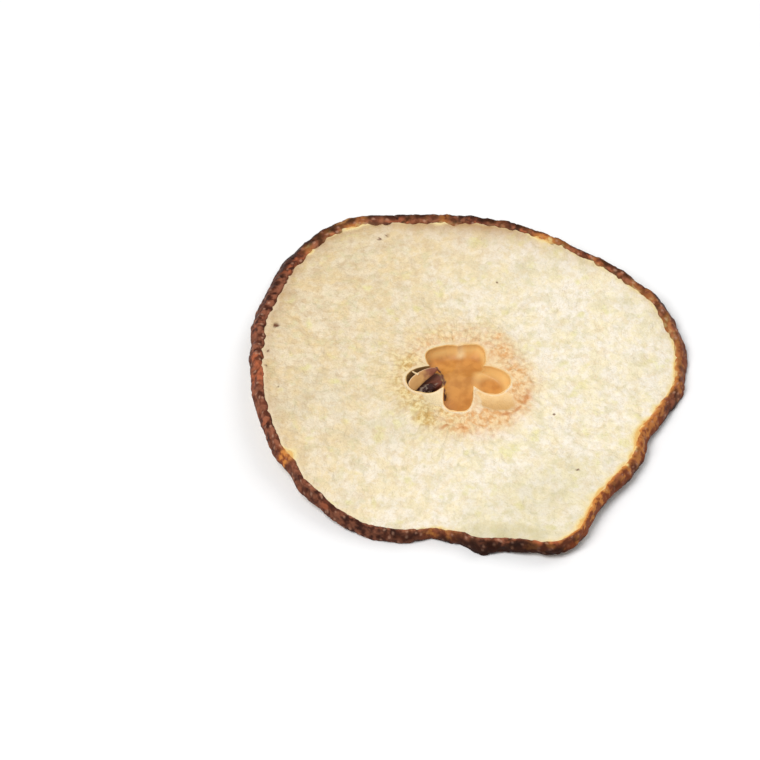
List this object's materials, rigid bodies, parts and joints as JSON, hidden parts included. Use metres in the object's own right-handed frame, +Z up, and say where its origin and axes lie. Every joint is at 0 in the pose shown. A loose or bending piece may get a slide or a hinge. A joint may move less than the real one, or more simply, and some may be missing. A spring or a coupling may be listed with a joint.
{
  "type": "dried snow pear slice",
  "caption": "Thin dried pear slice cut across the core: pale flesh in a knobbly brown skin band, with open seed chambers in the shown face.",
  "frame": {"origin": "under the middle of the slice's box, on the surface it lies on", "axes": "+Z up out of the shown cut face, +X to the right and +Y away from the camera that sees the face as the picture does"},
  "size_m": [0.0728, 0.0713, 0.007],
  "materials": {
    "dried_flesh": "dry cream-white pear flesh, faintly mottled yellow-green, grainy and matte",
    "dried_skin": "dark mahogany dried skin with tiny pale specks and a golden-orange inner edge, slightly glossy",
    "core_lining": "smooth orange-tan papery lining of the seed chambers",
    "seed": "shrunken near-black seed coat with grey flecks"
  },
  "bodies": {
    "root": {"pear_slice": "dried_flesh"}
  },
  "joints": []
}
